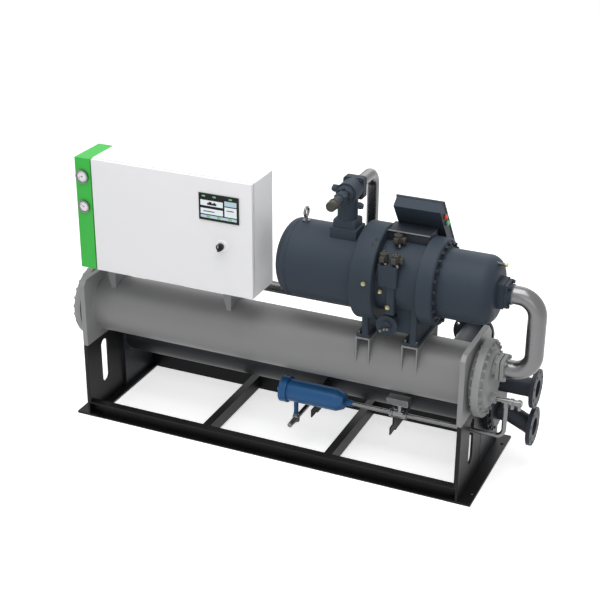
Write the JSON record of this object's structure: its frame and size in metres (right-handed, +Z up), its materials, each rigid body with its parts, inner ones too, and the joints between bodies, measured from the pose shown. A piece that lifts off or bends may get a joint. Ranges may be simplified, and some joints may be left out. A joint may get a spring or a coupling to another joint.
{
  "type": "screw chiller",
  "caption": "Water-cooled screw chiller: two horizontal shell-and-tube vessels on a steel base, a compressor on top, piping, and a control cabinet whose door opens.",
  "frame": {"origin": "middle of the four anchor holes in the foot plates, on the floor", "axes": "+X along the machine towards the water and suction pipe end, +Y to the rear, +Z up"},
  "size_m": [2.905, 0.8965, 1.752],
  "materials": {
    "black_frame": "satin",
    "white_enamel": "gloss",
    "green_enamel": "gloss",
    "shell_grey": "satin",
    "machine_blue_grey": "satin",
    "bright_steel": "brushed",
    "galvanised": "matte",
    "drier_blue": "gloss",
    "lamp_plastic": "gloss",
    "screen_plastic": "gloss",
    "black_plastic": "matte"
  },
  "bodies": {
    "frame": {"back_rail": "black_frame", "cabinet_body": "white_enamel", "cabinet_end_cover": "green_enamel", "cabinet_left_bracket": "shell_grey", "cabinet_right_bracket": "shell_grey", "compressor_left_saddle": "shell_grey", "compressor_right_saddle": "shell_grey", "condenser_inlet": "machine_blue_grey", "condenser_left_cap": "machine_blue_grey", "condenser_left_tube_sheet": "machine_blue_grey", "condenser_outlet": "machine_blue_grey", "condenser_right_cap": "machine_blue_grey", "condenser_right_tube_sheet": "machine_blue_grey", "condenser_shell": "machine_blue_grey", "cross_bars": "black_frame", "discharge_pipe": "bright_steel", "discharge_valve": "machine_blue_grey", "door_hinges": "galvanised", "evaporator_inlet": "shell_grey", "evaporator_left_cap": "shell_grey", "evaporator_left_tube_sheet": "shell_grey", "evaporator_outlet": "shell_grey", "evaporator_right_cap": "shell_grey", "evaporator_right_tube_sheet": "shell_grey", "evaporator_shell": "shell_grey", "evaporator_suction_flange": "shell_grey", "expansion_valve": "bright_steel", "eye_bolt": "bright_steel", "filter_drier": "drier_blue", "front_rail": "black_frame", "indicator_lamps": "lamp_plastic", "left_foot_plate": "black_frame", "left_leg": "black_frame", "liquid_pipe": "bright_steel", "motor_housing": "machine_blue_grey", "oil_separator": "machine_blue_grey", "pipe_hangers": "black_frame", "pressure_gauges": "bright_steel", "right_foot_plate": "black_frame", "right_leg": "black_frame", "rotor_housing": "machine_blue_grey", "service_valves": "bright_steel", "solenoid_valves": "machine_blue_grey", "suction_flange": "machine_blue_grey", "suction_pipe": "bright_steel", "terminal_box": "machine_blue_grey"},
    "door": {"cabinet_door": "white_enamel", "operator_screen": "screen_plastic", "switch_plate": "white_enamel"},
    "knob": {"switch_knob": "black_plastic"}
  },
  "joints": [
    {"name": "door_hinge", "type": "hinge", "parent": "frame", "child": "door", "pos_m": [-1.075, -0.4175, 1.3835], "axis": [0, 0, -1], "range_deg": [0, 100]},
    {"name": "switch_turn", "type": "hinge", "parent": "door", "child": "knob", "pos_m": [-0.241, -0.425, 1.337], "axis": [0, 1, 0], "range_deg": [0, 90]}
  ]
}
